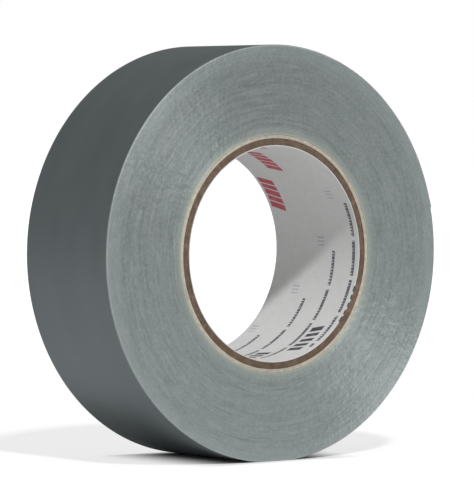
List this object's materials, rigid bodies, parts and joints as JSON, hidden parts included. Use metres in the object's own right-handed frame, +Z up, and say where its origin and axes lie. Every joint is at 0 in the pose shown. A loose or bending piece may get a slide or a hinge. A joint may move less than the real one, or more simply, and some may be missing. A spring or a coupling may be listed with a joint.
{
  "type": "duct tape roll",
  "caption": "Roll of silver-grey cloth-backed duct tape wound on a paperboard core, standing on its edge, with a loose tape end that peels up.",
  "frame": {"origin": "on the roll's axis, halfway across its width", "axes": "+Z up with the roll standing on its edge, +Y along the core's axis towards the roll's back side; the front side faces -Y"},
  "size_m": [0.1477, 0.048, 0.1475],
  "materials": {
    "liner_paper": "matte",
    "core_board": "matte",
    "core_cover_paper": "matte",
    "tape_edges": "satin",
    "tape_film": "satin",
    "tape_scrim": "matte",
    "tape_adhesive": "satin"
  },
  "bodies": {
    "roll": {"core_liner": "liner_paper", "core_board_ply_1": "core_board", "core_board_ply_2": "core_board", "core_board_ply_3": "core_board", "core_board_ply_4": "core_board", "core_board_ply_5": "core_board", "core_board_ply_6": "core_board", "core_cover_ply_1": "core_cover_paper", "core_cover_ply_2": "core_cover_paper", "core_cover_ply_3": "core_cover_paper", "tape_winding": "tape_edges", "last_turn_film": "tape_film", "last_turn_scrim": "tape_scrim", "last_turn_adhesive": "tape_adhesive"},
    "free_end_1": {"free_end_1_film": "tape_film", "free_end_1_scrim": "tape_scrim", "free_end_1_adhesive": "tape_adhesive"},
    "free_end_2": {"free_end_2_film": "tape_film", "free_end_2_scrim": "tape_scrim", "free_end_2_adhesive": "tape_adhesive"},
    "free_end_3": {"free_end_3_film": "tape_film", "free_end_3_scrim": "tape_scrim", "free_end_3_adhesive": "tape_adhesive"},
    "free_end_4": {"free_end_4_film": "tape_film", "free_end_4_scrim": "tape_scrim", "free_end_4_adhesive": "tape_adhesive"},
    "free_end_5": {"free_end_5_film": "tape_film", "free_end_5_scrim": "tape_scrim", "free_end_5_adhesive": "tape_adhesive"},
    "free_end_6": {"free_end_6_film": "tape_film", "free_end_6_scrim": "tape_scrim", "free_end_6_adhesive": "tape_adhesive"}
  },
  "joints": [
    {"name": "peel", "type": "hinge", "parent": "roll", "child": "free_end_1", "pos_m": [0.03702, 0, 0.06413], "axis": [0, -1, 0], "range_deg": [0, 90]},
    {"name": "flex_2", "type": "hinge", "parent": "free_end_1", "child": "free_end_2", "pos_m": [0.04559, 0, 0.05835], "axis": [0, -1, 0], "range_deg": [0, 4]},
    {"name": "flex_3", "type": "hinge", "parent": "free_end_2", "child": "free_end_3", "pos_m": [0.05327, 0, 0.05144], "axis": [0, -1, 0], "range_deg": [0, 4]},
    {"name": "flex_4", "type": "hinge", "parent": "free_end_3", "child": "free_end_4", "pos_m": [0.05992, 0, 0.04353], "axis": [0, -1, 0], "range_deg": [0, 4]},
    {"name": "flex_5", "type": "hinge", "parent": "free_end_4", "child": "free_end_5", "pos_m": [0.0654, 0, 0.03477], "axis": [0, -1, 0], "range_deg": [0, 4]},
    {"name": "flex_6", "type": "hinge", "parent": "free_end_5", "child": "free_end_6", "pos_m": [0.0696, 0, 0.02533], "axis": [0, -1, 0], "range_deg": [0, 4]}
  ],
  "couplings": [
    {"joint": "flex_2", "follows": "peel", "ratio": 0.044444},
    {"joint": "flex_3", "follows": "peel", "ratio": 0.044444},
    {"joint": "flex_4", "follows": "peel", "ratio": 0.044444},
    {"joint": "flex_5", "follows": "peel", "ratio": 0.044444},
    {"joint": "flex_6", "follows": "peel", "ratio": 0.044444}
  ]
}
